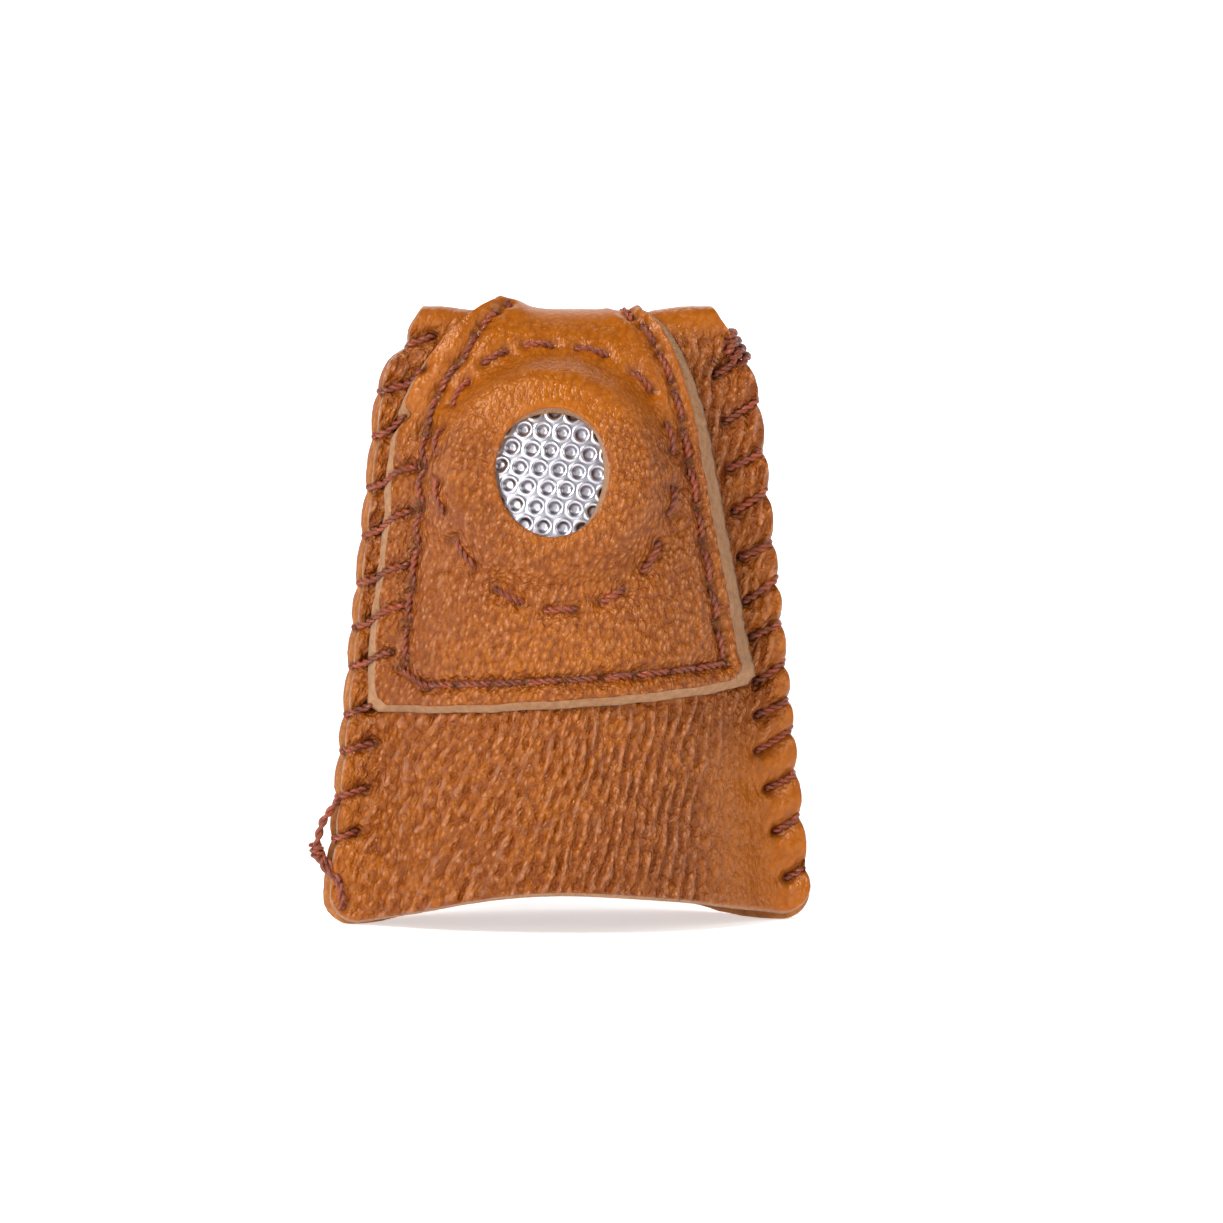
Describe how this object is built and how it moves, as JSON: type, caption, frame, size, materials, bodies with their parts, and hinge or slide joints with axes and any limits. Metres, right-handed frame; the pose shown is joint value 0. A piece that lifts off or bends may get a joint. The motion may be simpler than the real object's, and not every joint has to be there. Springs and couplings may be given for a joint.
{
  "type": "thimble",
  "caption": "Soft leather thimble: a folded pouch whip-stitched down both sides, with a stitched tip patch whose round window shows a dimpled metal disc.",
  "frame": {"origin": "centre of the open mouth, on the plane that the feet of the hem stand on", "axes": "+Z along the finger from the mouth to the tip, -Y out of the face that holds the coin, +X to the right seen from that side"},
  "size_m": [0.0346, 0.0185, 0.0425],
  "materials": {
    "pouch_leather": "semi-gloss pebbled caramel leather with pale cut edges",
    "patch_leather": "semi-gloss fine-grained caramel leather with pale cut edges",
    "coin_metal": "bright, pressed with a lattice of pits",
    "thread": "waxed two-ply twisted thread"
  },
  "bodies": {
    "root": {"pouch": "pouch_leather", "tip_patch": "patch_leather", "coin": "coin_metal", "coin_ring_stitches": "thread", "patch_edge_stitches": "thread", "back_flap_stitches": "thread", "left_whip_stitches": "thread", "right_whip_stitches": "thread", "left_slack_loop": "thread", "right_end_knot": "thread"}
  },
  "joints": []
}
